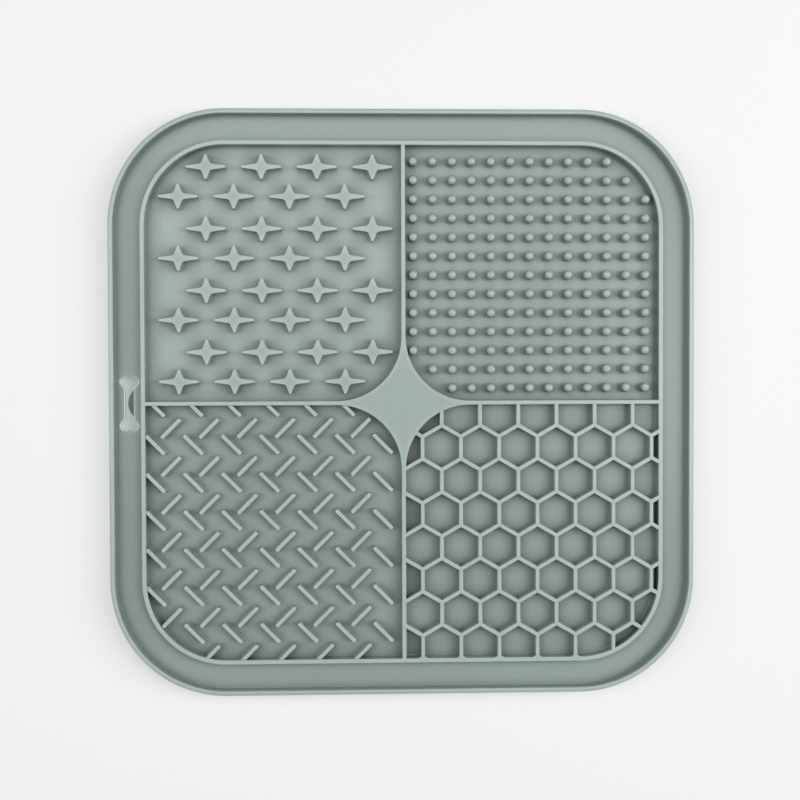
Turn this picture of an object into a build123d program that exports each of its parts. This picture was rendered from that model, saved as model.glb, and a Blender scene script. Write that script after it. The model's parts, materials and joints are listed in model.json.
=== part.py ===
from build123d import *
from math import hypot, sqrt
import os

# A square silicone lick mat: a sheet on suction cups, with a rim, four textured wells and a hanging hole.
# Millimetres, +Z up. X runs to the right and Y to the back of the mat as it lies in front of a person.
# The origin is on the surface that the mat stands on, under the middle of the mat.

# Sheet and walls
mat_width = 200.0
corner_radius = 39.5
sheet_thickness = 2.0
wall_height = 4.5
wall_edge_radius = 0.5
rim_width = 1.75
channel_width = 9.1
frame_width = 1.5
divider_width = 1.45
well_corner_radius = 22.0

# Hanging hole in the left channel, shaped like a bone
bone_length = 19.1
bone_width = 6.9
bone_shaft_width = 3.8
bone_lobe_radius = 2.0
bone_neck_radius = 0.8

# Suction cups under the sheet
cups_per_side = 5
cup_inset = 11.0
cup_lip_radius = 6.2
cup_lip_width = 0.7
cup_neck_radius = 2.6
cup_skirt_height = 2.2
cup_skirt_wall = 0.9
cup_stem_height = 1.8

# Stars in the back left well
star_length = 13.6
star_depth = 8.5
star_tip_width = 0.8
star_waist_length = 3.2
star_waist_depth = 2.3
star_waist_radius = 1.2
star_height = 4.0
star_edge_radius = 0.2
star_pairs_of_rows = 4
stars_per_row = 4
star_stagger = 0.478
star_margin_back = 7.4
star_margin_front = 6.7
star_margin_left = 11.4
star_margin_right = 9.7
star_clearance = 0.6

# Nubs in the back right well
nub_radius = 1.62
nub_height = 4.6
nubs_per_row = 13
nub_margin_back = 5.3
nub_margin_front = 4.3
nub_margin_left = 2.7
nub_margin_right = 4.45
nub_clearance = 0.4

# Herringbone ribs in the front left well
rib_length = 9.3
rib_width = 1.45
rib_height = 4.0
rib_edge_radius = 0.5
rib_lean = 45.0
ribs_per_row = 7
rib_up_margin_left = 8.5
rib_up_margin_back = 7.75
rib_up_margin_front = 1.7
rib_down_margin_left = 3.15
rib_down_margin_right = 6.4
rib_down_margin_back = 0.36

# Honeycomb in the front right well
cells_per_row = 6
cell_rows = 8
cell_wall = 1.35
cell_margin_left = 5.68
cell_margin_right = 2.4
cell_margin_back = 3.27
cell_least_wall_area = 1.0

# Heights and plan lines that follow from the sizes above
sheet_bottom = cup_skirt_height + cup_stem_height
sheet_top = sheet_bottom + sheet_thickness
half_width = mat_width / 2
rim_inner = half_width - rim_width
frame_outer = rim_inner - channel_width
frame_inner = frame_outer - frame_width
divider_face = divider_width / 2
plate_tip = divider_face + well_corner_radius
well_span = frame_inner - divider_face


def corner_at(half_side):
    """Corner radius of the line that runs at this distance from the middle, inside the outer edge."""
    return corner_radius - (half_width - half_side)


def rounded_square(half_side):
    return RectangleRounded(2 * half_side, 2 * half_side, corner_at(half_side))


def standing(sketch, height):
    """A solid of this plan that stands on the sheet."""
    return Pos(0, 0, sheet_top) * extrude(sketch, height)


def round_top(solid, radius):
    return fillet(solid.faces().sort_by(Axis.Z)[-1].edges(), radius)


def well(side_x, side_y):
    """Plan of the well on this side of the two dividers: one round corner at the plate, one at the frame."""
    middle = (divider_face + frame_inner) / 2
    plan = Pos(side_x * middle, side_y * middle) * Rectangle(well_span, well_span)
    plan = fillet(plan.vertices().sort_by_distance((0, 0, 0))[0], well_corner_radius)
    return fillet(plan.vertices().sort_by_distance((0, 0, 0))[-1], corner_at(frame_inner))


def room_in_well(x, y):
    """Distance from a point, given as distances from the two middle lines, to the nearest edge of its well."""
    room = min(x - divider_face, y - divider_face, frame_inner - x, frame_inner - y)
    if x < plate_tip and y < plate_tip:
        room = min(room, well_corner_radius - hypot(plate_tip - x, plate_tip - y))
    frame_corner = corner_at(frame_inner)
    bend = frame_inner - frame_corner
    if x > bend and y > bend:
        room = min(room, frame_corner - hypot(x - bend, y - bend))
    return room


def places(first, pitch, count):
    """Places from first on, one pitch apart."""
    return [first + pitch * i for i in range(count)]


def bone_hole():
    """Plan of the hanging hole: a shaft with two round lobes at each end."""
    lobe_x = bone_width / 2 - bone_lobe_radius
    lobe_y = bone_length / 2 - bone_lobe_radius
    plan = Sketch() + Rectangle(bone_shaft_width, 2 * lobe_y)
    for x in (-lobe_x, lobe_x):
        for y in (-lobe_y, lobe_y):
            plan += Pos(x, y) * Circle(bone_lobe_radius)
    necks = [v for v in plan.vertices() if abs(abs(v.X) - bone_shaft_width / 2) < bone_lobe_radius / 10]
    plan = fillet(necks, bone_neck_radius)
    return Pos(-(rim_inner + frame_outer) / 2, 0) * plan


def base_sheet():
    return Pos(0, 0, sheet_bottom) * extrude(rounded_square(half_width) - bone_hole(), sheet_thickness)


def outer_rim():
    ring = rounded_square(half_width) - rounded_square(rim_inner)
    return round_top(standing(ring, wall_height), wall_edge_radius)


def inner_frame():
    ring = rounded_square(frame_outer) - rounded_square(frame_inner)
    return round_top(standing(ring, wall_height), wall_edge_radius)


def divider(angle):
    """A wall from a tip of the plate to the frame, turned from the right-hand one."""
    length = frame_inner - plate_tip
    bar = Pos((plate_tip + frame_inner) / 2, 0) * Rectangle(length, divider_width)
    return standing(Rot(0, 0, angle) * bar, wall_height)


def centre_plate():
    """The plate fills the corners between the four wells."""
    plan = Rectangle(2 * plate_tip, 2 * plate_tip)
    for side_x in (-1, 1):
        for side_y in (-1, 1):
            plan -= well(side_x, side_y)
    return standing(plan, wall_height)


def star():
    """A flat-topped star with four narrow arms, centred on its own middle."""
    tip = star_tip_width / 2
    waist = (star_waist_length / 2, star_waist_depth / 2)
    quarter = [(star_length / 2, tip), waist, (tip, star_depth / 2)]
    points = quarter + [(-x, y) for x, y in reversed(quarter)]
    points += [(-x, -y) for x, y in points]
    plan = make_face(Polyline(*points, close=True))
    inner = [v for v in plan.vertices() if abs(v.X) < star_length / 4 and abs(v.Y) < star_depth / 4]
    plan = fillet(inner, star_waist_radius)
    return round_top(extrude(plan, star_height), star_edge_radius)


def star_rows():
    """Pairs of rows from back to front. The second row of a pair is shifted half a pitch to the left."""
    one = star()
    rows = []
    pitch = (well_span - star_margin_left - star_margin_right) / (stars_per_row - 1 / 2)
    pair_pitch = (well_span - star_margin_back - star_margin_front) / (star_pairs_of_rows - 1 + star_stagger)
    left = frame_inner - star_margin_left
    for back in places(frame_inner - star_margin_back, -pair_pitch, star_pairs_of_rows):
        for first, y in ((left - pitch / 2, back), (left, back - star_stagger * pair_pitch)):
            fits = [x for x in places(first, -pitch, stars_per_row) if star_fits(x, y)]
            rows.append([Pos(-x, y, sheet_top) * one for x in fits])
    return rows


def star_fits(x, y):
    """Whether all four arms of a star at this place stay clear of the walls of its well."""
    reach_x = star_length / 2 + star_clearance
    reach_y = star_depth / 2 + star_clearance
    ends = [(x - reach_x, y), (x + reach_x, y), (x, y - reach_y), (x, y + reach_y)]
    return min(room_in_well(*end) for end in ends) >= 0


def nub():
    """A round peg with a domed top."""
    shank = nub_height - nub_radius
    peg = Cylinder(nub_radius, shank, align=(Align.CENTER, Align.CENTER, Align.MIN))
    return peg + Pos(0, 0, shank) * Sphere(nub_radius)


def nub_rows():
    """A square grid of nubs, wherever one has room in the well."""
    one = nub()
    rows = []
    pitch = (well_span - nub_margin_left - nub_margin_right) / (nubs_per_row - 1)
    row_pitch = (well_span - nub_margin_back - nub_margin_front) / (nubs_per_row - 1)
    columns = places(divider_face + nub_margin_left, pitch, nubs_per_row)
    for y in places(frame_inner - nub_margin_back, -row_pitch, nubs_per_row):
        fits = [x for x in columns if room_in_well(x, y) >= nub_radius + nub_clearance]
        rows.append([Pos(x, y, sheet_top) * one for x in fits])
    return rows


def rib(lean):
    """A straight rib with round ends, leaning this many degrees from the X axis."""
    plan = Rot(0, 0, lean) * SlotOverall(rib_length, rib_width)
    return round_top(extrude(plan, rib_height), rib_edge_radius)


def rib_rows(lean, margin_left, margin_back, columns):
    """Ribs of one lean on a grid from the back left corner, trimmed by the walls that they run into."""
    one = rib(lean)
    room = standing(well(-1, -1), rib_height)
    pitch = (well_span - rib_down_margin_left - rib_down_margin_right) / (ribs_per_row - 1)
    row_pitch = (well_span - rib_up_margin_back - rib_up_margin_front) / (ribs_per_row - 1)
    rows = []
    for y in places(divider_face + margin_back, row_pitch, ribs_per_row):
        fits = [x for x in places(frame_inner - margin_left, -pitch, columns) if room_in_well(x, y) > 0]
        rows.append([(Pos(-x, -y, sheet_top) * one & room).solid() for x in fits])
    return rows


def rib_up_rows():
    return rib_rows(rib_lean, rib_up_margin_left, rib_up_margin_back, ribs_per_row - 1)


def rib_down_rows():
    """The partners that lean the other way: one more to a row, the first of them at the left wall."""
    return rib_rows(-rib_lean, rib_down_margin_left, rib_down_margin_back, ribs_per_row)


def cell_wall_plan(start, end):
    """One straight cell wall from joint to joint, pointed at both ends so that three walls meet in a mitre."""
    along = (Vector(*end) - Vector(*start)).normalized()
    across = Vector(-along.Y, along.X) * (cell_wall / 2)
    mitre = along * (cell_wall / 2 / sqrt(3))
    a = Vector(*start)
    b = Vector(*end)
    outline = [a, a + mitre - across, b - mitre - across, b, b - mitre + across, a + mitre + across]
    return make_face(Polyline(*outline, close=True))


def honeycomb_rows():
    """Rows of pointed-top cells from back to front. A row is its upright walls and the zigzag in front of them."""
    room = well(1, -1)
    pitch = (well_span - cell_margin_left - cell_margin_right) / cells_per_row
    side = pitch / sqrt(3)
    rows = []
    for number, y in enumerate(places(divider_face + cell_margin_back, side * 3 / 2, cell_rows)):
        first = divider_face + cell_margin_left - (0 if number % 2 else pitch / 2)
        walls = []
        for x in places(first, pitch, cells_per_row + 1):
            foot = (x, -y - side / 2)
            walls.append(cell_wall_plan((x, -y + side / 2), foot))
            for slant in (-pitch / 2, pitch / 2):
                walls.append(cell_wall_plan(foot, (x + slant, -y - side)))
        cut = [(wall & room) for wall in walls]
        kept = [plan for plan in cut if plan and plan.area >= cell_least_wall_area]
        rows.append([standing(plan, wall_height).solid() for plan in kept])
    return rows


def cup_places():
    """Rows of cups from back to front, on a square grid without its four corners."""
    reach = half_width - cup_inset
    grid = places(-reach, 2 * reach / (cups_per_side - 1), cups_per_side)
    return [[(x, -y) for x in grid if abs(x) < reach or abs(y) < reach] for y in grid]


def cup_skirt():
    """A thin bell with a flat ring of lip to stand on, open below."""
    profile = [
        (cup_lip_radius - cup_lip_width, 0),
        (cup_lip_radius, 0),
        (cup_neck_radius, cup_skirt_height),
        (0, cup_skirt_height),
        (0, cup_skirt_height - cup_skirt_wall),
    ]
    return revolve(Plane.XZ * make_face(Polyline(*profile, close=True)), Axis.Z)


def cup_rows():
    one = cup_skirt()
    return [[Pos(x, y) * one for x, y in row] for row in cup_places()]


def cup_stems():
    """A short round post from each cup up to the sheet."""
    post = Cylinder(cup_neck_radius, cup_stem_height, align=(Align.CENTER, Align.CENTER, Align.MIN))
    return [Pos(x, y, cup_skirt_height) * post for row in cup_places() for x, y in row]


def write(name, solids):
    export_step(Compound(list(solids)), os.path.join("parts", name + ".step"))


def write_rows(name, rows, digits=1):
    for number, row in enumerate(rows, start=1):
        write(f"{name}_{number:0{digits}d}", row)


os.makedirs("parts", exist_ok=True)
write("base_sheet", base_sheet().solids())
write("outer_rim", outer_rim().solids())
write("inner_frame", inner_frame().solids())
write("centre_plate", centre_plate().solids())
for place, angle in (("right", 0), ("back", 90), ("left", 180), ("front", 270)):
    write("divider_" + place, divider(angle).solids())
write_rows("star_row", star_rows())
write_rows("nub_row", nub_rows(), digits=2)
write_rows("rib_up_row", rib_up_rows())
write_rows("rib_down_row", rib_down_rows())
write_rows("honeycomb_row", honeycomb_rows())
write_rows("cup_row", cup_rows())
write("cup_stems", cup_stems())
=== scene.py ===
import json
from math import ceil, cos, hypot, pi, radians, sin, sqrt

import bmesh
import bpy
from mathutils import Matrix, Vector


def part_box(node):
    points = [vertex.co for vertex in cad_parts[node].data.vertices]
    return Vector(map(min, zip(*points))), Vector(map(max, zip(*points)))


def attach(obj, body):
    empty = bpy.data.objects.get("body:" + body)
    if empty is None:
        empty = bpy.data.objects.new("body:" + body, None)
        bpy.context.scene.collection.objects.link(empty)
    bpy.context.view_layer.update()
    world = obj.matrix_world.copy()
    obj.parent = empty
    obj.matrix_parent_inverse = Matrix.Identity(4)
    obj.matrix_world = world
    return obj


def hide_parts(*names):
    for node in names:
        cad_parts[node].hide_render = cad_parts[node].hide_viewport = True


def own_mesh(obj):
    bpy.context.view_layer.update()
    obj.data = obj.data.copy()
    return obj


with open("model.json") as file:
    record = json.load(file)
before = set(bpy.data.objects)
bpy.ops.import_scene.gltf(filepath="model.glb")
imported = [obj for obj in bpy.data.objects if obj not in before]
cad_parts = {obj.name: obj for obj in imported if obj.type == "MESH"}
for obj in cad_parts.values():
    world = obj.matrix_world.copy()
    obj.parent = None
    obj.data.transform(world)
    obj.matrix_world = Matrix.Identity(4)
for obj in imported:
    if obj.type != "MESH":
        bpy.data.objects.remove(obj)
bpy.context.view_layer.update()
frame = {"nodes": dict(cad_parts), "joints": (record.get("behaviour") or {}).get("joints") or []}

bl_info = {
    "name": "Lick mat",
    "version": (1, 0, 0),
    "blender": (4, 5, 0),
    "location": "3D View > Sidebar > Lick mat",
    "description": "Models a moulded silicone lick mat on its CAD frame, with a studio stage",
    "category": "Object",
}

MM = 0.001


# Places and rows that the frame gives


def row_nodes(start):
    """The names of the CAD nodes of one kind of row, in order."""
    return sorted(name for name in frame["nodes"] if name.startswith(start))


SHEET_LOW, SHEET_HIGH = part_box("base_sheet")
HALF = SHEET_HIGH.x
UNDERSIDE = SHEET_LOW.z
FLOOR_Z = SHEET_HIGH.z
WALL_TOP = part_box("outer_rim")[1].z
FRAME_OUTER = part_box("inner_frame")[1].x
DIVIDER_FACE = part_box("divider_back")[1].x
PLATE_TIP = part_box("centre_plate")[1].x
STAR_NODES = row_nodes("star_row")
NUB_NODES = row_nodes("nub_row")
RIB_UP_NODES = row_nodes("rib_up_row")
RIB_DOWN_NODES = row_nodes("rib_down_row")
CELL_NODES = row_nodes("honeycomb_row")
CUP_NODES = row_nodes("cup_row")
BODY_NODES = ["base_sheet", "outer_rim", "inner_frame", "centre_plate"]
BODY_NODES += ["divider_" + side for side in ("back", "front", "left", "right")]

# Full rows, from which the pitch of a pattern is taken

FULL_NUB_ROW = NUB_NODES[2]
NUBS_IN_ROW = 13
RIB_LEAN = 45
UP_RIBS_IN_ROW = 6
DOWN_RIBS_IN_ROW = 7
FULL_DOWN_INDEX = 2  # place of a full row among the rows that lean down
FULL_CUP_ROW = CUP_NODES[2]
CUPS_IN_ROW = 5
STAR_SPACING = 1.4  # rough pitch of the stars in a row, over their length

# Overlaps and margins

SUNK = 0.4 * MM  # how far stars and ribs reach into the sheet and walls that carry them
NUB_SUNK = 0.3 * MM
DRAFT = 0.05 * MM  # how far a star or a rib narrows from its foot to its crown
PAST = 1 * MM  # how far a cutting tool reaches past what it cuts
TOOL_TOP = WALL_TOP + 3 * MM
SAME_PLACE = 0.01 * MM  # places closer than this are the same

# Fineness of the meshes, with angles in degrees

ARC_STEP = 1.6 * MM  # a rounded corner has a segment for each such step in its radius
ARC_SEGMENTS = 4  # and this many more
FOOT_SEGMENTS = 3
EDGE_SEGMENTS = 3
UNDER_SEGMENTS = 2
OUTER_SEGMENTS = 4
HOLE_SEGMENTS = 4
RIB_END_SEGMENTS = 4
LOBE_SIDES = 28
NUB_SIDES = 14
CUP_SIDES = 40
WALL_ANGLE = 40  # least turn of an edge between a level face and a wall
HOLE_ANGLE = 60  # and at the hanging hole
BODY_SMOOTH = 40  # greatest turn of an edge that is shaded smooth
STAR_SMOOTH = 50
NUB_SMOOTH = 60
RIB_SMOOTH = 50
CUP_SMOOTH = 38

# Shapes of the small pieces: lengths, and shares of the sizes that they follow

MIDDLE_LOBE = 0.78  # round end of the hole's shaft, of its lobes
FLARE_REACH = 0.9  # how far over a lobe the hole's flare reaches, of the lobe's radius
STAR_EDGE = 0.6  # rounding of a star's upper edges, of the walls' rounding
STAR_WAIST_ROUND = 0.55 * MM
NUB_HOLLOW = 0.3  # middle of a nub's hollow foot, of the foot's size
NUB_TAPER = 0.97  # a nub's width under its dome, of its width at the foot
NUB_DOME = 0.66  # height of a nub's dome, of the nub's radius
NUB_TURNS = (0, 30, 55, 75)  # angles of the dome's rings, in degrees
NUB_CAP = 0.05  # flat tip of a nub, of its radius
CUP_NECK = 2.6 * MM
CUP_SHOULDER = 0.5 * MM
CUP_ROUND = 0.25 * MM
CUP_LIP_LEAN = 0.15 * MM  # how far a cup's side leans in over its lip
CUP_LIP_ROUND = 0.1 * MM
CUP_BELLY = 0.45  # height of a cup's belly, of the cup's height
BELLY_IN = 0.4  # how far in the inside lies at the belly, of the skirt's thickness
BELLY_DOWN = 0.3  # how far down it lies there
NECK_DOWN = 1.1  # and at the neck
CUP_PIT = 0.3 * MM  # radius of the flat at the top of a cup's inside

# Surface of the silicone, with noise scales in swings per metre

DRIFT_SCALE = 28.0
DRIFT_STRENGTH = 2.0  # of the specks' strength
SPECK_SCALE = 900.0
GRAIN_SCALE = 2600.0
GRAIN_ROUGHNESS = 0.6
GRAIN_HEIGHT = 0.2 * MM
SPECK_ROUGHNESS = 0.12
DRIFT_ROUGHNESS = 0.08
PAINTED_LIP_LIGHT_SHARE = 0.95  # share of the painted light on the hole's lip, a pale colour in place of light shining through it
PAINTED_LIP_LIGHT_MOTTLE = 0.1  # and how much specks change that share
LIP_START = 0.1  # part of the hole's rounding that keeps the sheet's colour
LIP_END = 0.05 * MM  # height over the underside where the painted light on the lip ends
SHADE_SAMPLES = 8  # rays that look for crevices, for the painted shade, and for thin walls, for the painted light

# Stage, in metres: each light's name, place, size and the property with its power

LIGHTS = (
    ("Light right", (0.62, 0.05, 0.72), (0.35, 0.8), "right_light"),
    ("Light left", (-0.62, 0.05, 0.72), (0.35, 0.8), "left_light"),
    ("Light above", (0.0, 0.28, 0.85), (0.5, 0.4), "top_light"),
)
FLOOR_GAP = 0.02 * MM
FLOOR_MOTTLE_SCALE = 3.0
FLOOR_MOTTLE = 0.02
FLOOR_ROUGHNESS = 0.9
PAINTED_SHADE_RAMP = 6 * MM  # depth under the mat at which the floor has its full painted shade and green tint
DEEP_RAMP = 14 * MM  # depth under the mat at which the floor is least white
WHITE_FROM = 0.25  # from the mat's middle, where the floor starts to fade to white
WHITE_RAMP = 0.5  # and the length over which it fades
PLAIN_WHITE = (1, 1, 1, 1)
CAMERA_TILT = (radians(-1.306), radians(-2.048), radians(-0.189))
FRAME_PIXELS = 800
SHIFT_PIXELS = (-0.5, 0.6)
SENSOR_WIDTH = 36.0
CLIP_START = 0.01


# Properties that a user would change


def length(name, description, default):
    return bpy.props.FloatProperty(
        name=name,
        description=description,
        default=default,
        min=0.0,
        precision=5,
        subtype="DISTANCE",
        unit="LENGTH",
    )


def colour(name, description, default):
    return bpy.props.FloatVectorProperty(
        name=name, description=description, default=default, size=3, min=0.0, max=1.0, subtype="COLOR"
    )


def number(name, description, default):
    return bpy.props.FloatProperty(name=name, description=description, default=default, precision=4)


class LickMatSizes(bpy.types.PropertyGroup):
    """Sizes of the moulding that the frame doesn't give."""

    corner: length("Corner radius", "Outside corner of the mat in plan", 39.5 * MM)
    rim: length("Rim width", "Thickness of the wall round the edge", 1.75 * MM)
    frame: length("Frame width", "Thickness of the wall round the wells", 1.5 * MM)
    cell_wall: length("Cell wall", "Thickness of the honeycomb walls", 1.35 * MM)
    cell_pitch: length("Cell pitch", "From one honeycomb cell to the next", 13.141 * MM)
    cell_first_x: length("Cell start", "Middle of the first cell, right of the mat's middle", 6.405 * MM)
    cell_first_y: length("Row start", "Middle of the first row, in front of the mat's middle", 3.995 * MM)
    foot: length("Foot fillet", "Hollow fillet where a wall meets the sheet", 0.1 * MM)
    edge: length("Edge rounding", "Rounding of the upper edges of the walls", 0.26 * MM)
    outer_edge: length("Outer edge rounding", "Rounding of the rim's outer upper edge", 1.0 * MM)
    hole_edge: length("Hole edge rounding", "Rounding of the hanging hole's upper edge", 0.5 * MM)
    hole_lip: length("Hole lip", "How far the hole's rounded lip reaches into it", 0.45 * MM)
    bone_shaft: length("Hole shaft", "Width of the bone-shaped hole along its shaft", 3.8 * MM)
    bone_lobe: length("Hole lobe", "Radius of the lobes of the bone-shaped hole", 2.0 * MM)
    bone_width: length("Hole width", "Width of the bone-shaped hole over its lobes", 6.9 * MM)
    bone_flare: length("Hole flare", "Length over which the hole's shaft widens to its lobes", 2.7 * MM)
    bone_length: length("Hole length", "Length of the bone-shaped hole", 19.1 * MM)
    star_length: length("Star length", "Tip to tip, left to right", 13.6 * MM)
    star_depth: length("Star depth", "Tip to tip, front to back", 8.5 * MM)
    star_tip: length("Star tip", "Width of a star's tip", 0.8 * MM)
    star_waist: length("Star waist", "Half the length of a star's waist, left to right", 1.6 * MM)
    star_waist_depth: length("Star waist depth", "Half the depth of a star's waist, front to back", 1.15 * MM)
    nub_radius: length("Nub radius", "Radius of a nub's shank", 1.62 * MM)
    rib_length: length("Rib length", "Overall length of a rib", 9.3 * MM)
    rib_width: length("Rib width", "Thickness of a rib", 1.45 * MM)
    rib_end: length("Rib end rounding", "Corner radius of a rib's ends in plan", 0.5 * MM)
    rib_edge: length("Rib edge rounding", "Rounding of a rib's upper edges", 0.2 * MM)
    cup_lip: length("Cup lip", "Width of the flat ring that a cup stands on", 0.7 * MM)
    cup_wall: length("Cup wall", "Thickness of a cup's skirt", 0.9 * MM)


class LickMatFinish(bpy.types.PropertyGroup):
    """Colour and surface of the silicone, with its painted shade and painted light."""

    base: colour("Silicone", "Colour of the silicone", (0.336, 0.417, 0.378))
    cloud: number("Cloudiness", "How much the colour drifts over the sheet", 0.08)
    # Painted shade: the silicone's colour is darkened near walls and in crevices, where real shade falls.
    painted_crevice_shade: number("Crevices", "How much deeper the colour is where walls meet the sheet", 0.92)
    painted_crevice_shade_reach: length("Crevice reach", "How far from a wall the colour is deeper", 7.0 * MM)
    # Painted light: thin walls, nub tops and edges are painted paler, in place of light that shines through
    # them and catches them.
    thin: number("Thin walls", "How much paler the silicone is where it is thin", 0.40)
    painted_thin_light_reach: length("Thin wall reach", "How deep the silicone is where it no longer looks paler", 1.9 * MM)
    # Painted light: the pale colour on the hanging hole's thin lip and sides stands in for light that shines
    # through them and catches their edge.
    painted_lip_light: colour("Thin lip", "Colour of the thin lip of the hanging hole", (0.88, 0.96, 0.92))
    roughness: number("Roughness", "Roughness of the moulded surface", 0.38)
    grain: number("Grain", "Depth of the fine moulded grain", 0.1)
    refraction: number("Refraction", "Index of refraction of the silicone", 1.41)
    sheen: number("Sheen", "Weight of the soft clear sheen", 0.4)
    sheen_roughness: number("Sheen roughness", "Roughness of the soft clear sheen", 0.22)


class LickMatStage(bpy.types.PropertyGroup):
    """Floor, light and camera."""

    floor: colour("Floor", "Colour of the floor", (0.86, 0.87, 0.86))
    # Painted shade: the floor under the mat is painted darker and greener, in place of its shadow and the
    # green light that the silicone bounces onto it.
    painted_under_shade: colour("Floor under the mat", "Floor as it shows through the hole", (0.66, 0.80, 0.73))
    floor_size: length("Floor size", "Length of the floor's sides", 12.0)
    white: number("White", "Strength of the plain white of the background", 1.09)
    floor_white: number("Floor white", "Share of plain white in the floor near the mat", 0.38)
    # Painted light: the plain white under the mat stands in for light through the hanging hole, and fades
    # deeper in so that the floor there shows darker.
    under_white: number("White under the mat", "Share of plain white in the floor deep under the mat", 0.06)
    right_light: number("Right light", "Power of the large light on the right, in watts", 5.2)
    left_light: number("Left light", "Power of the large light on the left, in watts", 3.2)
    top_light: number("Top light", "Power of the light above and behind the mat, in watts", 1.2)
    ambient: number("Ambient", "Strength of the even light from all round", 0.15)
    camera_height: length("Camera height", "Height of the camera over the tops of the walls", 430 * MM)
    camera_x: number("Camera X", "Camera's place to the right of the mat's middle, in metres", -16.44 * MM)
    camera_y: number("Camera Y", "Camera's place behind the mat's middle, in metres", 10.64 * MM)
    focal: number("Focal length", "Focal length in pixels of a frame 800 pixels wide", 1262.0)


# Modelling steps that several pieces share


def select_only(*objs):
    """Selects these objects alone, with the first one active."""
    bpy.ops.object.select_all(action="DESELECT")
    for obj in objs:
        obj.select_set(True)
    bpy.context.view_layer.objects.active = objs[0]


def add(primitive, **settings):
    """A new primitive, with nothing else selected."""
    bpy.ops.object.select_all(action="DESELECT")
    primitive(**settings)
    return bpy.context.object


def settle(obj):
    """Puts the place, turn and size of the selected object into its mesh."""
    bpy.ops.object.transform_apply(location=True, rotation=True, scale=True)
    return obj


def edit(obj):
    """Opens an object's mesh in edit mode."""
    bpy.context.view_layer.objects.active = obj
    bpy.ops.object.mode_set(mode="EDIT")


def done(obj):
    """Leaves edit mode."""
    bpy.ops.object.mode_set(mode="OBJECT")
    return obj


def pick(obj, kind, test):
    """In edit mode, selects only the verts or edges that pass the test."""
    bpy.ops.mesh.select_mode(type={"verts": "VERT", "edges": "EDGE"}[kind])
    bpy.ops.mesh.select_all(action="DESELECT")
    mesh = bmesh.from_edit_mesh(obj.data)
    mesh.normal_update()
    for item in getattr(mesh, kind):
        if test(item):
            item.select_set(True)
    mesh.select_flush_mode()
    bmesh.update_edit_mesh(obj.data)


def stretch(x, y, about=(0, 0, 0)):
    """In edit mode, stretches what is selected in plan, about a point."""
    bpy.ops.transform.resize(value=(x, y, 1), center_override=about)


def round_corners(width, segments):
    """In edit mode, rounds the selected corners of an outline, or cuts them off with one segment."""
    bpy.ops.mesh.bevel(offset=width, segments=segments, affect="VERTICES", clamp_overlap=False)


def face_outwards():
    """In edit mode, turns all faces outwards."""
    bpy.ops.mesh.select_all(action="SELECT")
    bpy.ops.mesh.normals_make_consistent(inside=False)


def near(a, b):
    return abs(a - b) < SAME_PLACE


def flat_edge_at(z, angle=WALL_ANGLE):
    """A test for the edges of a level face at this height that turn down or up by more than an angle."""
    return lambda e: all(near(v.co.z, z) for v in e.verts) and e.calc_face_angle(0) > radians(angle)


def bevel(obj, test, width, segments):
    """Rounds the edges that pass the test."""
    edit(obj)
    pick(obj, "edges", test)
    bpy.ops.mesh.bevel(offset=width, segments=segments, affect="EDGES", clamp_overlap=False)
    return done(obj)


def modify(obj, kind, **settings):
    """Adds a modifier and applies it."""
    select_only(obj)
    bpy.ops.object.modifier_add(type=kind)
    modifier = obj.modifiers[-1]
    for key, value in settings.items():
        setattr(modifier, key, value)
    bpy.ops.object.modifier_apply(modifier=modifier.name)
    return obj


def cut(obj, tool, operation):
    """Cuts obj with a tool shape, or joins the two, and the tool is used up."""
    modify(obj, "BOOLEAN", operation=operation, solver="EXACT", object=tool)
    bpy.data.objects.remove(tool)
    return obj


def join(objs):
    """Joins several objects into the first."""
    select_only(*objs)
    bpy.ops.object.join()
    return objs[0]


def repeat(obj, count, step):
    """Copies of obj along a straight line, as one mesh."""
    if count < 2:
        return obj
    return modify(
        obj,
        "ARRAY",
        count=count,
        use_relative_offset=False,
        use_constant_offset=True,
        constant_offset_displace=step,
    )


def move(obj, x, y, z=0.0):
    """Moves a piece's mesh, with its object left at the origin."""
    select_only(obj)
    bpy.ops.transform.translate(value=(x, y, z))
    return settle(obj)


def copy_of(obj):
    """A copy with its own mesh."""
    select_only(obj)
    bpy.ops.object.duplicate(linked=False)
    return bpy.context.object


def block(low, high, rounds):
    """A box between two corners. Each of its rounds is a test on an upright edge's x and y, and a radius."""
    low = Vector(low)
    high = Vector(high)
    obj = add(bpy.ops.mesh.primitive_cube_add, size=1.0, location=(low + high) / 2)
    obj.scale = high - low
    settle(obj)
    for test, radius in rounds:
        upright = lambda e: near(e.verts[0].co.x, e.verts[1].co.x) and near(e.verts[0].co.y, e.verts[1].co.y)
        at = lambda e, test=test: upright(e) and test(e.verts[0].co.x, e.verts[0].co.y)
        bevel(obj, at, radius, ceil(radius / ARC_STEP) + ARC_SEGMENTS)
    return obj


def rounded_block(half, radius, z_low, z_high):
    """A square block in the mat's middle, with all four corners rounded."""
    everywhere = lambda x, y: True
    return block((-half, -half, z_low), (half, half, z_high), [(everywhere, radius)])


def post(sides, radius, x, y, z_low, z_high):
    """An upright prism or cylinder."""
    cylinder = add(
        bpy.ops.mesh.primitive_cylinder_add,
        vertices=sides,
        radius=radius,
        depth=z_high - z_low,
        location=(x, y, (z_low + z_high) / 2),
    )
    return settle(cylinder)


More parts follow.
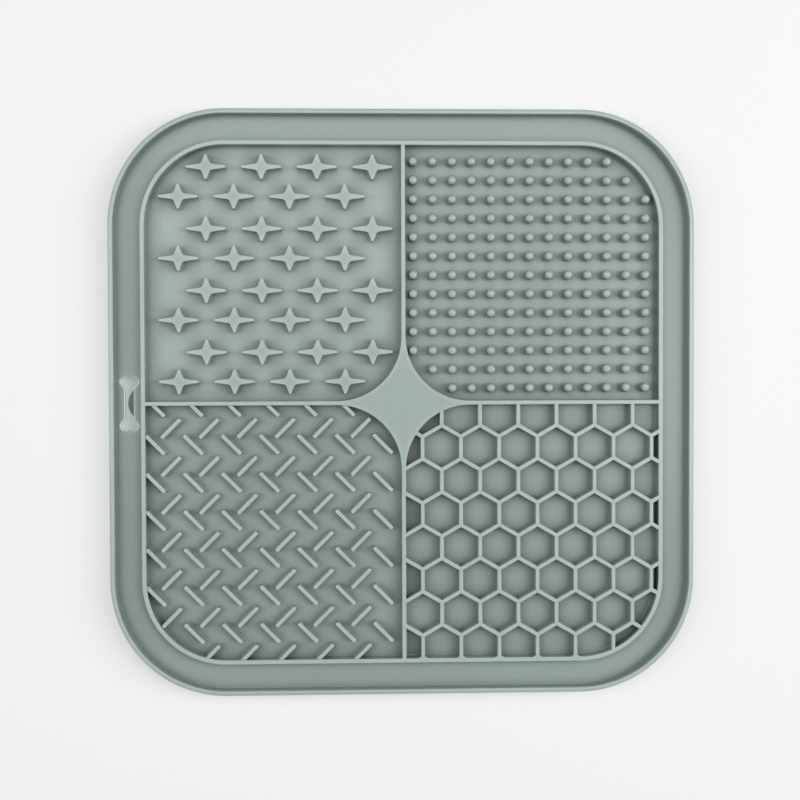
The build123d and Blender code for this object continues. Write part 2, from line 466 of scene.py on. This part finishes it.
def turned(profile, sides):
    """A round shape, from rings of (radius, height), the first and last closed by a cap."""
    radius, height = profile[0]
    obj = add(
        bpy.ops.mesh.primitive_circle_add,
        vertices=sides,
        radius=radius,
        fill_type="NGON",
        location=(0, 0, height),
    )
    settle(obj)
    edit(obj)
    bpy.ops.mesh.select_all(action="SELECT")
    for (r0, z0), (r1, z1) in zip(profile, profile[1:]):
        bpy.ops.mesh.extrude_region_move(TRANSFORM_OT_translate={"value": (0, 0, z1 - z0)})
        stretch(r1 / r0, r1 / r0, about=(0, 0, z1))
    face_outwards()
    return done(obj)


def raise_outline(obj, profile):
    """Raises the one face of an outline by steps of (inset, rise), and closes it below."""
    edit(obj)
    bpy.ops.mesh.select_all(action="SELECT")
    bpy.ops.mesh.extrude_region_move(TRANSFORM_OT_translate={"value": (0, 0, profile[0][1])})
    for inset, rise in profile[1:]:
        bpy.ops.mesh.inset(thickness=inset, depth=0.0, use_even_offset=True)
        bpy.ops.transform.translate(value=(0, 0, rise))
    face_outwards()
    return done(obj)


def foot_and_edge(height, foot, edge):
    """Steps of (inset, rise) for a wall with a hollow fillet at its foot and a rounded upper edge."""
    turns = [pi / 2 * i / EDGE_SEGMENTS for i in range(EDGE_SEGMENTS + 1)]
    sunk = (0.0, SUNK)
    hollow = [(foot * (sin(b) - sin(a)), foot * (cos(a) - cos(b))) for a, b in zip(turns, turns[1:])]
    shaft = (DRAFT, height - foot - edge)
    crown = [(edge * (cos(a) - cos(b)), edge * (sin(b) - sin(a))) for a, b in zip(turns, turns[1:])]
    return [sunk, *hollow, shaft, *crown]


def smooth(obj, angle):
    """Shades a piece smooth, apart from edges that turn by more than an angle."""
    select_only(obj)
    bpy.ops.object.shade_smooth_by_angle(angle=radians(angle))
    return modify(obj, "WEIGHTED_NORMAL", keep_sharp=True)


def finish_piece(obj, name, body, nodes):
    """Names a finished piece, gives it the silicone, and sets it on its CAD body in place of its nodes."""
    obj.name = name
    obj.data.name = name
    obj.data.materials.clear()
    obj.data.materials.append(silicone())
    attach(obj, body)
    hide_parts(*nodes)
    return obj


# Plan of the wells, from the frame


def sizes():
    return bpy.context.scene.lick_mat_sizes


def frame_inner():
    """Distance from the mat's middle to the frame's inner face."""
    return FRAME_OUTER - sizes().frame


def corner_at(half_side):
    """Corner radius of the line at this distance from the middle, inside the outer edge."""
    return sizes().corner - (HALF - half_side)


def well_block(side_x, side_y, margin, z_low, z_high):
    """The space of one well, made larger all round by a margin."""
    inner = DIVIDER_FACE - margin
    outer = frame_inner() + margin
    xs = sorted((side_x * inner, side_x * outer))
    ys = sorted((side_y * inner, side_y * outer))
    reach = (inner + outer) / 2
    at_plate = lambda x, y: abs(x) < reach and abs(y) < reach
    at_frame = lambda x, y: abs(x) > reach and abs(y) > reach
    rounds = [(at_plate, PLATE_TIP - DIVIDER_FACE + margin), (at_frame, corner_at(frame_inner()) + margin)]
    return block((xs[0], ys[0], z_low), (xs[1], ys[1], z_high), rounds)


def hole_middle():
    """The hanging hole lies midway between the rim and the frame, on the left."""
    return -(HALF - sizes().rim + FRAME_OUTER) / 2


def room_in_mat(place):
    """Distance from a point to the mat's outline in plan."""
    x, y = abs(place.x), abs(place.y)
    corner = sizes().corner
    room = min(HALF - x, HALF - y)
    if x > HALF - corner and y > HALF - corner:
        room = corner - hypot(x - HALF + corner, y - HALF + corner)
    return room


def room_in_well(x, y):
    """Distance from a point, given from the two middle lines, to the nearest edge of its well."""
    outer = frame_inner()
    room = min(x - DIVIDER_FACE, y - DIVIDER_FACE, outer - x, outer - y)
    if x < PLATE_TIP and y < PLATE_TIP:
        room = min(room, PLATE_TIP - DIVIDER_FACE - hypot(PLATE_TIP - x, PLATE_TIP - y))
    corner = corner_at(outer)
    if x > outer - corner and y > outer - corner:
        room = min(room, corner - hypot(x - outer + corner, y - outer + corner))
    return room


# Shader nodes


class Socket:
    """A node's output socket, with arithmetic on values that adds Math nodes."""

    def __init__(self, tree, socket):
        self.tree = tree
        self.socket = socket

    def node(self, kind, values, output=0, **settings):
        """Any other node: its settings first, then its sockets by name or number."""
        made = self.tree.nodes.new(kind)
        for key, value in settings.items():
            setattr(made, key, value)
        for key, value in values.items():
            if isinstance(value, Socket):
                self.tree.links.new(value.socket, made.inputs[key])
            else:
                made.inputs[key].default_value = value
        return Socket(self.tree, made.outputs[output])

    def math(self, operation, a, b=0.0):
        return self.node("ShaderNodeMath", {0: a, 1: b}, operation=operation)

    def vector(self, operation, values, output="Vector"):
        """Vector Math, which also takes colours."""
        return self.node("ShaderNodeVectorMath", values, output=output, operation=operation)

    def mix(self, factor, a, b):
        """A mix of two colours, from a at 0 to b at 1."""
        values = {"Factor": factor, "A": a, "B": b}
        return self.node("ShaderNodeMix", values, output="Result", data_type="RGBA")

    def swing(self, scale, detail):
        """Noise at this place, from about -0.5 to 0.5."""
        return self.node("ShaderNodeTexNoise", {"Vector": self, "Scale": scale, "Detail": detail}) - 0.5

    def clamped(self):
        return self.math("MINIMUM", self.math("MAXIMUM", self, 0.0), 1.0)

    def to_surface(self, kind):
        """Ends the tree with an output node of this kind."""
        output = self.tree.nodes.new(kind)
        self.tree.links.new(self.socket, output.inputs["Surface"])

    def __add__(self, other):
        return self.math("ADD", self, other)

    __radd__ = __add__

    def __sub__(self, other):
        return self.math("SUBTRACT", self, other)

    def __rsub__(self, other):
        return self.math("SUBTRACT", other, self)

    def __mul__(self, other):
        return self.math("MULTIPLY", self, other)

    __rmul__ = __mul__

    def __truediv__(self, other):
        return self.math("DIVIDE", self, other)

    def __rtruediv__(self, other):
        return self.math("DIVIDE", other, self)


def empty_tree(owner):
    """The node tree of a material or a world, with nothing in it."""
    owner.use_nodes = True
    owner.node_tree.nodes.clear()
    return owner.node_tree


def new_material(name):
    """A material with an empty tree, and a socket of the piece's Object coordinates."""
    material = bpy.data.materials.new(name)
    tree = empty_tree(material)
    return material, Socket(tree, tree.nodes.new("ShaderNodeTexCoord").outputs["Object"])


def sees_background(tree):
    """1 for the rays that show the plain background: the camera's own, and those mirrored or let through."""
    path = tree.nodes.new("ShaderNodeLightPath")
    own, mirrored, let_through = [
        Socket(tree, path.outputs[name]) for name in ("Is Camera Ray", "Is Glossy Ray", "Is Transmission Ray")
    ]
    return (own + mirrored + let_through).clamped()


# Silicone


def hole_lip(place):
    """1 on the lip and the sides of the hanging hole, where painted light goes, 0 elsewhere."""
    s = sizes()
    x, y, z = [place.node("ShaderNodeSeparateXYZ", {0: place}, output=axis) for axis in "XYZ"]
    from_middle = place.math("ABSOLUTE", x - hole_middle())
    across = place.math("LESS_THAN", from_middle, s.bone_width / 2 + s.hole_edge)
    along = place.math("LESS_THAN", place.math("ABSOLUTE", y), s.bone_length / 2 + s.hole_edge)
    above_underside = place.math("GREATER_THAN", z, UNDERSIDE + LIP_END)
    below_floor = place.math("LESS_THAN", z, FLOOR_Z - LIP_START * s.hole_edge)
    return across * along * above_underside * below_floor


def silicone():
    """Matte silicone with a soft sheen and fine grain, with painted shade in crevices and painted light on
    thin walls and on the hanging hole's lip.
    """
    name = "Silicone"
    if name in bpy.data.materials:
        return bpy.data.materials[name]
    finish = bpy.context.scene.lick_mat_finish
    material, place = new_material(name)
    drift = place.swing(DRIFT_SCALE, detail=3.0)
    speck = place.swing(SPECK_SCALE, detail=2.0)
    grain = place.node(
        "ShaderNodeTexNoise",
        {"Vector": place, "Scale": GRAIN_SCALE, "Detail": 3.0, "Roughness": GRAIN_ROUGHNESS},
    )
    # Painted shade: how open each point is, which darkens the colour in crevices and at the feet of walls.
    painted_shade_openness = place.node(
        "ShaderNodeAmbientOcclusion", {"Distance": finish.painted_crevice_shade_reach}, output="AO", samples=SHADE_SAMPLES
    )
    # Painted light: rays inside the silicone find thin walls, which are painted paler.
    thickness = place.node(
        "ShaderNodeAmbientOcclusion",
        {"Distance": finish.painted_thin_light_reach},
        output="AO",
        samples=SHADE_SAMPLES,
        inside=True,
        only_local=True,
    )
    shade = 1.0 + drift * finish.cloud * DRIFT_STRENGTH + speck * finish.cloud
    # Painted shade darkens the colour in crevices, and painted light makes thin walls paler.
    shade = shade * (1.0 - finish.painted_crevice_shade + finish.painted_crevice_shade * painted_shade_openness) + (1.0 - thickness) * finish.thin
    tint = place.vector("SCALE", {0: tuple(finish.base), "Scale": shade})
    # Painted light: the hole's lip and sides take a pale colour in place of light through the thin silicone.
    lip = hole_lip(place) * (PAINTED_LIP_LIGHT_SHARE + speck * PAINTED_LIP_LIGHT_MOTTLE)
    shader = place.node(
        "ShaderNodeBsdfPrincipled",
        {
            "Base Color": place.mix(lip, tint, (*finish.painted_lip_light, 1.0)),
            "Roughness": finish.roughness + speck * SPECK_ROUGHNESS + drift * DRIFT_ROUGHNESS,
            "Normal": place.node(
                "ShaderNodeBump", {"Strength": finish.grain, "Distance": GRAIN_HEIGHT, "Height": grain}
            ),
            "IOR": finish.refraction,
            "Coat Weight": finish.sheen,
            "Coat Roughness": finish.sheen_roughness,
        },
    )
    shader.to_surface("ShaderNodeOutputMaterial")
    return material


# Operators


class LICKMAT_OT_body(bpy.types.Operator):
    """Models the sheet with its rim, frame, dividers, plate and honeycomb as one moulding"""

    bl_idname = "lickmat.body"
    bl_label = "Moulded body"

    def execute(self, context):
        s = sizes()
        body = rounded_block(HALF, s.corner, UNDERSIDE, WALL_TOP)
        tools = [self.channel()]
        for side_x, side_y in ((-1, 1), (1, 1), (-1, -1)):
            well = well_block(side_x, side_y, 0.0, FLOOR_Z, TOOL_TOP)
            tools.append(bevel(well, flat_edge_at(FLOOR_Z), s.foot, FOOT_SEGMENTS))
        tools.append(self.cells())
        cut(body, join(tools), "DIFFERENCE")
        cut(body, self.bone(), "DIFFERENCE")
        outside = lambda e: room_in_mat(e.verts[0].co) < SAME_PLACE
        top_edge = flat_edge_at(WALL_TOP)
        bevel(body, lambda e: top_edge(e) and not outside(e), s.edge, EDGE_SEGMENTS)
        bevel(body, lambda e: top_edge(e) and outside(e), s.outer_edge, OUTER_SEGMENTS)
        bevel(body, flat_edge_at(UNDERSIDE), s.edge, UNDER_SEGMENTS)
        bevel(body, flat_edge_at(FLOOR_Z, HOLE_ANGLE), s.hole_edge, HOLE_SEGMENTS)
        smooth(body, BODY_SMOOTH)
        finish_piece(body, "moulded_body", "mat", BODY_NODES + CELL_NODES)
        return {"FINISHED"}

    def channel(self):
        """The trough between the rim and the frame."""
        s = sizes()
        rim_inner = HALF - s.rim
        trough = rounded_block(rim_inner, corner_at(rim_inner), FLOOR_Z, TOOL_TOP)
        island = rounded_block(FRAME_OUTER, corner_at(FRAME_OUTER), FLOOR_Z - PAST, TOOL_TOP + PAST)
        cut(trough, island, "DIFFERENCE")
        return bevel(trough, flat_edge_at(FLOOR_Z), s.foot, FOOT_SEGMENTS)

    def cells(self):
        """The pockets of the honeycomb: six-sided, trimmed by the walls of their well."""
        s = sizes()
        radius = (s.cell_pitch - s.cell_wall) / sqrt(3)
        pocket = post(6, radius, 0, 0, FLOOR_Z, TOOL_TOP)
        bevel(pocket, flat_edge_at(FLOOR_Z), s.foot, FOOT_SEGMENTS)
        pockets = []
        for row in range(len(CELL_NODES)):
            y = -s.cell_first_y - row * s.cell_pitch * sqrt(3) / 2
            first = s.cell_first_x - s.cell_pitch * (row % 2) / 2
            for column in range(ceil(frame_inner() / s.cell_pitch) + 1):
                x = first + column * s.cell_pitch
                if room_in_well(x, -y) > s.cell_wall - radius:
                    pockets.append(move(copy_of(pocket), x, y))
        bpy.data.objects.remove(pocket)
        room = well_block(1, -1, 0.0, FLOOR_Z - PAST, TOOL_TOP + PAST)
        return cut(join(pockets), room, "INTERSECT")

    def bone(self):
        """The hanging hole: a shaft that flares at each end into two round lobes."""
        s = sizes()
        z_low = UNDERSIDE - PAST
        z_high = FLOOR_Z + PAST
        middle = hole_middle()
        lobe_x = s.bone_width / 2 - s.bone_lobe
        lobe_y = s.bone_length / 2 - s.bone_lobe
        radius = s.bone_lobe - s.hole_lip
        half_shaft = s.bone_shaft / 2 - s.hole_lip
        shaft = block((middle - half_shaft, -lobe_y, z_low), (middle + half_shaft, lobe_y, z_high), [])
        for x, share in ((-lobe_x, 1.0), (lobe_x, 1.0), (0.0, MIDDLE_LOBE)):
            for y in (-lobe_y, lobe_y):
                cut(shaft, post(LOBE_SIDES, share * radius, middle + x, y, z_low, z_high), "UNION")
        for y_low, y_high in ((-lobe_y, s.bone_flare - lobe_y), (lobe_y - s.bone_flare, lobe_y)):
            flare = block((middle - half_shaft, y_low, z_low), (middle + half_shaft, y_high, z_high), [])
            edit(flare)
            pick(flare, "verts", lambda v: near(abs(v.co.y), lobe_y))
            stretch((lobe_x + FLARE_REACH * radius) / half_shaft, 1, about=(middle, 0, 0))
            cut(shaft, done(flare), "UNION")
        return shaft


class LICKMAT_OT_stars(bpy.types.Operator):
    """Models one star and sets out the rows of stars"""

    bl_idname = "lickmat.stars"
    bl_label = "Stars"

    def execute(self, context):
        s = sizes()
        star = self.star()
        for node in STAR_NODES:
            low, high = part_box(node)
            span = high.x - low.x - s.star_length
            count = round(span / (STAR_SPACING * s.star_length)) + 1
            row = move(copy_of(star), low.x + s.star_length / 2, (low.y + high.y) / 2)
            repeat(row, count, (span / (count - 1), 0, 0))
            finish_piece(row, node + "_moulded", "mat", [node])
        bpy.data.objects.remove(star)
        return {"FINISHED"}

    def star(self):
        """An outline of four blunt arms, wide enough for the foot, then raised."""
        s = sizes()
        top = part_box(STAR_NODES[0])[1].z
        star = self.outline()
        move(star, 0, 0, FLOOR_Z - SUNK)
        raise_outline(star, foot_and_edge(top - FLOOR_Z, s.foot, s.edge * STAR_EDGE))
        return smooth(star, STAR_SMOOTH)

    def outline(self):
        """An octagon, whose corners lie at 0, 0.7 and 1 along each axis, drawn out into four blunt arms."""
        s = sizes()
        tip = s.star_tip / 2
        waist = Vector((s.star_waist, s.star_waist_depth))
        along = self.side_line(Vector((s.star_length / 2, tip)), waist)
        across = self.side_line(Vector((tip, s.star_depth / 2)), waist)
        reach_x = s.star_length / 2 + s.foot
        reach_y = s.star_depth / 2 + s.foot
        point_x = along[2] / along[0]
        point_y = across[2] / across[1]
        turn = along[0] * across[1] - along[1] * across[0]
        waist_x = (along[2] * across[1] - along[1] * across[2]) / turn
        waist_y = (along[0] * across[2] - along[2] * across[0]) / turn
        star = add(bpy.ops.mesh.primitive_circle_add, vertices=8, radius=1.0, fill_type="NGON")
        edit(star)
        pick(star, "verts", lambda v: abs(v.co.x) > 0.5 and abs(v.co.y) < 0.5)
        stretch(point_x, 1)
        pick(star, "verts", lambda v: abs(v.co.y) > 0.5)
        stretch(1, point_y)
        pick(star, "verts", lambda v: abs(v.co.x) > 0.5)
        stretch(waist_x * sqrt(2), waist_y / point_y * sqrt(2))
        pick(star, "verts", lambda v: near(abs(v.co.x), point_x))
        round_corners(hypot(point_x - reach_x, (along[2] - along[0] * reach_x) / along[1]), 1)
        pick(star, "verts", lambda v: near(abs(v.co.y), point_y))
        round_corners(hypot(point_y - reach_y, (across[2] - across[1] * reach_y) / across[0]), 1)
        pick(star, "verts", lambda v: near(abs(v.co.x), waist_x) and near(abs(v.co.y), waist_y))
        round_corners(STAR_WAIST_ROUND, EDGE_SEGMENTS)
        return done(star)

    def side_line(self, corner, waist):
        """The line of an arm's side, moved out by the foot fillet, as (a, b, c) of a x + b y = c."""
        normal = Vector((corner.y - waist.y, waist.x - corner.x)).normalized()
        if normal.dot(corner) < 0:
            normal = -normal
        return normal.x, normal.y, normal.dot(corner) + sizes().foot


class LICKMAT_OT_nubs(bpy.types.Operator):
    """Models one nub and sets out the rows of nubs"""

    bl_idname = "lickmat.nubs"
    bl_label = "Nubs"

    def execute(self, context):
        s = sizes()
        low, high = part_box(FULL_NUB_ROW)
        pitch = (high.x - low.x - 2 * s.nub_radius) / (NUBS_IN_ROW - 1)
        nub = self.nub(high.z)
        for node in NUB_NODES:
            low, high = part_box(node)
            span = high.x - low.x - 2 * s.nub_radius
            row = move(copy_of(nub), low.x + s.nub_radius, (low.y + high.y) / 2)
            repeat(row, round(span / pitch) + 1, (pitch, 0, 0))
            finish_piece(row, node + "_moulded", "mat", [node])
        bpy.data.objects.remove(nub)
        return {"FINISHED"}

    def nub(self, top):
        """A peg with a hollow fillet at its foot and a domed top."""
        s = sizes()
        r = s.nub_radius
        dome = NUB_DOME * r
        rings = [
            (r + s.foot, FLOOR_Z - NUB_SUNK),
            (r + s.foot, FLOOR_Z),
            (r + NUB_HOLLOW * s.foot, FLOOR_Z + NUB_HOLLOW * s.foot),
            (r, FLOOR_Z + s.foot),
        ]
        for turn in NUB_TURNS:
            rings.append((NUB_TAPER * r * cos(radians(turn)), top - dome + dome * sin(radians(turn))))
        rings.append((NUB_CAP * r, top))
        return smooth(turned(rings, NUB_SIDES), NUB_SMOOTH)


class LICKMAT_OT_ribs(bpy.types.Operator):
    """Models one rib of each lean and sets out the herringbone"""

    bl_idname = "lickmat.ribs"
    bl_label = "Ribs"

    def execute(self, context):
        s = sizes()
        up_low, up_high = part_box(RIB_UP_NODES[0])
        next_low, next_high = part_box(RIB_UP_NODES[1])
        down_low, down_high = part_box(RIB_DOWN_NODES[FULL_DOWN_INDEX])
        reach_x = (s.rib_length - s.rib_width) / 2 * cos(radians(RIB_LEAN)) + s.rib_width / 2
        pitch = (up_high.x - up_low.x - 2 * reach_x) / (UP_RIBS_IN_ROW - 1)
        row_pitch = (up_low.y + up_high.y - next_low.y - next_high.y) / 2
        up_first = (up_low.x + reach_x, (up_low.y + up_high.y) / 2)
        down_x = down_high.x - reach_x - (DOWN_RIBS_IN_ROW - 1) * pitch
        down_first = (down_x, (down_low.y + down_high.y) / 2 + FULL_DOWN_INDEX * row_pitch)
        self.rows(RIB_UP_NODES, RIB_LEAN, up_first, pitch, row_pitch, UP_RIBS_IN_ROW)
        self.rows(RIB_DOWN_NODES, -RIB_LEAN, down_first, pitch, row_pitch, DOWN_RIBS_IN_ROW)
        return {"FINISHED"}

    def rows(self, nodes, lean, first, pitch, row_pitch, columns):
        """Rows of one lean, trimmed by the walls that they run into."""
        rib = self.rib(lean)
        for index, node in enumerate(nodes):
            y = first[1] - index * row_pitch
            places = [first[0] + pitch * i for i in range(columns)]
            fits = [x for x in places if room_in_well(-x, -y) > 0]
            row = move(copy_of(rib), fits[0], y)
            repeat(row, len(fits), (pitch, 0, 0))
            room = well_block(-1, -1, SUNK, FLOOR_Z - PAST, WALL_TOP + PAST)
            cut(row, room, "INTERSECT")
            smooth(row, RIB_SMOOTH)
            finish_piece(row, node + "_moulded", "mat", [node])
        bpy.data.objects.remove(rib)

    def rib(self, lean):
        """A slab with rounded ends, turned and raised, with a hollow foot and rounded upper edges."""
        s = sizes()
        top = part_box(RIB_UP_NODES[0])[1].z
        rib = add(bpy.ops.mesh.primitive_plane_add, size=1.0)
        edit(rib)
        bpy.ops.mesh.select_all(action="SELECT")
        stretch(s.rib_length + 2 * s.foot, s.rib_width + 2 * s.foot)
        round_corners(s.rib_end + s.foot, RIB_END_SEGMENTS)
        bpy.ops.mesh.select_all(action="SELECT")
        bpy.ops.transform.rotate(value=radians(-lean), orient_axis="Z", center_override=(0, 0, 0))
        done(rib)
        move(rib, 0, 0, FLOOR_Z - SUNK)
        return raise_outline(rib, foot_and_edge(top - FLOOR_Z, s.foot, s.rib_edge))


class LICKMAT_OT_cups(bpy.types.Operator):
    """Models one suction cup and sets out the rows of cups under the sheet"""

    bl_idname = "lickmat.cups"
    bl_label = "Suction cups"

    def execute(self, context):
        low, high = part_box(CUP_NODES[0])
        radius = (high.y - low.y) / 2
        travel = next(j for j in frame["joints"] if j["name"] == "cup_press")["range_m"][1]
        cup = self.cup(radius, high.z)
        full_low, full_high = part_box(FULL_CUP_ROW)
        pitch = (full_high.x - full_low.x - 2 * radius) / (CUPS_IN_ROW - 1)
        for node in CUP_NODES:
            low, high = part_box(node)
            count = round((high.x - low.x - 2 * radius) / pitch) + 1
            row = move(copy_of(cup), low.x + radius, (low.y + high.y) / 2)
            repeat(row, count, (pitch, 0, 0))
            finish_piece(row, node + "_moulded", "suction_cups", [node])
            1 - travel / high.z
            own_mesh(row)
        bpy.data.objects.remove(cup)
        stems = frame["nodes"]["cup_stems"]
        stems.data.materials.clear()
        stems.data.materials.append(silicone())
        return {"FINISHED"}

    def cup(self, radius, height):
        """A thin bell, open below, with a rounded lip: rings down its outside, then up its inside."""
        s = sizes()
        wall = s.cup_wall
        lip_inner = radius - s.cup_lip
        belly_radius = 0.5 * (CUP_NECK + radius)
        belly = CUP_BELLY * height
        rings = [
            (CUP_NECK, height),
            (CUP_NECK + CUP_SHOULDER, height - CUP_ROUND),
            (belly_radius, belly),
            (radius - CUP_LIP_LEAN, CUP_ROUND),
            (radius, CUP_LIP_ROUND),
            (radius - CUP_LIP_ROUND, 0.0),
            (lip_inner, 0.0),
            (lip_inner - CUP_LIP_ROUND, CUP_ROUND),
            (belly_radius - BELLY_IN * wall, belly - BELLY_DOWN * wall),
            (CUP_NECK, height - NECK_DOWN * wall),
            (CUP_PIT, height - wall),
        ]
        return smooth(turned(rings, CUP_SIDES), CUP_SMOOTH)


class LICKMAT_OT_stage(bpy.types.Operator):
    """Sets the floor, the soft studio lights and the camera"""

    bl_idname = "lickmat.stage"
    bl_label = "Studio stage"

    def execute(self, context):
        stage = context.scene.lick_mat_stage
        self.floor(stage)
        for name, place, size, power in LIGHTS:
            self.light(name, place, size, getattr(stage, power))
        self.world(stage)
        self.camera(stage)
        context.scene.view_settings.view_transform = "Standard"
        return {"FINISHED"}

    def floor(self, stage):
        """A wide sheet just under the lips of the cups."""
        floor = add(bpy.ops.mesh.primitive_plane_add, size=stage.floor_size, location=(0, 0, -FLOOR_GAP))
        settle(floor)
        floor.name = "Floor"
        floor.data.materials.append(self.pale_floor(stage))

    def pale_floor(self, stage):
        """Pale paper, mixed with plain white far away; under the mat it is painted darker and greener as
        shade and bounce light, and its plain white, painted light under the hole, fades inwards.
        """
        material, place = new_material("Pale floor")
        depth = self.depth_under_mat(place)
        under = (depth / PAINTED_SHADE_RAMP).clamped()
        deep = (depth / DEEP_RAMP).clamped()
        far = ((place.vector("LENGTH", {0: place}, output="Value") - WHITE_FROM) / WHITE_RAMP).clamped()
        shade = 1.0 + place.swing(FLOOR_MOTTLE_SCALE, detail=2.0) * FLOOR_MOTTLE
        # Painted shade and painted green bounce light on the floor under the mat.
        tint = place.mix(under, (*stage.floor, 1.0), (*stage.painted_under_shade, 1.0))
        tint = place.vector("SCALE", {0: tint, "Scale": shade})
        paper = place.node("ShaderNodeBsdfPrincipled", {"Base Color": tint, "Roughness": FLOOR_ROUGHNESS})
        white = place.node("ShaderNodeEmission", {"Color": PLAIN_WHITE, "Strength": stage.white})
        # Under the mat the plain white is painted light that fades inwards, so that the floor deeper in shows
        # darker.
        share = stage.floor_white + far * (1.0 - stage.floor_white)
        share = share - deep * (stage.floor_white - stage.under_white)
        seen = sees_background(place.tree) * share
        shader = place.node("ShaderNodeMixShader", {0: seen, 1: paper, 2: white})
        shader.to_surface("ShaderNodeOutputMaterial")
        return material

    def depth_under_mat(self, place):
        """Distance in from the mat's outline, less than 0 outside it and at most the corner's radius."""
        corner = sizes().corner
        straight = HALF - corner
        from_middle = place.vector("ABSOLUTE", {0: place})
        past_straight = place.vector("SUBTRACT", {0: from_middle, 1: (straight, straight, straight)})
        past_straight = place.vector("MAXIMUM", {0: past_straight, 1: (0, 0, 0)})
        return corner - place.vector("LENGTH", {0: past_straight}, output="Value")

    def light(self, name, place, size, power):
        """A flat lamp that faces the mat's middle."""
        bpy.ops.object.select_all(action="DESELECT")
        bpy.ops.object.light_add(type="AREA", location=place)
        lamp = bpy.context.object
        lamp.name = name
        lamp.data.shape = "RECTANGLE"
        lamp.data.size, lamp.data.size_y = size
        lamp.data.energy = power
        lamp.rotation_euler = (-Vector(place)).to_track_quat("-Z", "Y").to_euler()

    def world(self, stage):
        """Faint even light, and plain white where the background shows."""
        world = bpy.data.worlds.new("Studio")
        bpy.context.scene.world = world
        seen = sees_background(empty_tree(world))
        even = seen.node("ShaderNodeBackground", {"Color": PLAIN_WHITE, "Strength": stage.ambient})
        white = seen.node("ShaderNodeBackground", {"Color": PLAIN_WHITE, "Strength": stage.white})
        mixed = seen.node("ShaderNodeMixShader", {0: seen, 1: even, 2: white})
        mixed.to_surface("ShaderNodeOutputWorld")

    def camera(self, stage):
        """The photo's camera, high over the mat and a little to its left and back."""
        place = (stage.camera_x, stage.camera_y, WALL_TOP + stage.camera_height)
        bpy.ops.object.camera_add(location=place, rotation=CAMERA_TILT)
        camera = bpy.context.object
        camera.data.sensor_width = SENSOR_WIDTH
        camera.data.lens = SENSOR_WIDTH * stage.focal / FRAME_PIXELS
        camera.data.clip_start = CLIP_START
        camera.data.shift_x = SHIFT_PIXELS[0] / FRAME_PIXELS
        camera.data.shift_y = SHIFT_PIXELS[1] / FRAME_PIXELS
        bpy.context.scene.camera = camera


class LICKMAT_PT_panel(bpy.types.Panel):
    """Lists the operators and the properties in the sidebar"""

    bl_label = "Lick mat"
    bl_space_type = "VIEW_3D"
    bl_region_type = "UI"
    bl_category = "Lick mat"

    def draw(self, context):
        for operator in OPERATORS:
            self.layout.operator(operator.bl_idname)
        for key in GROUPS:
            group = getattr(context.scene, key)
            box = self.layout.box()
            for name in group.bl_rna.properties.keys():
                if name not in ("rna_type", "name"):
                    box.prop(group, name)


GROUPS = {"lick_mat_sizes": LickMatSizes, "lick_mat_finish": LickMatFinish, "lick_mat_stage": LickMatStage}
OPERATORS = [
    LICKMAT_OT_body,
    LICKMAT_OT_stars,
    LICKMAT_OT_nubs,
    LICKMAT_OT_ribs,
    LICKMAT_OT_cups,
    LICKMAT_OT_stage,
]
CLASSES = [*GROUPS.values(), *OPERATORS, LICKMAT_PT_panel]


def register():
    for cls in CLASSES:
        bpy.utils.register_class(cls)
    for key, cls in GROUPS.items():
        setattr(bpy.types.Scene, key, bpy.props.PointerProperty(type=cls))


def unregister():
    for key in GROUPS:
        delattr(bpy.types.Scene, key)
    for cls in reversed(CLASSES):
        bpy.utils.unregister_class(cls)


def main():
    register()
    bpy.ops.lickmat.body()
    bpy.ops.lickmat.stars()
    bpy.ops.lickmat.nubs()
    bpy.ops.lickmat.ribs()
    bpy.ops.lickmat.cups()
    bpy.ops.lickmat.stage()


if __name__ == "__main__":
    main()
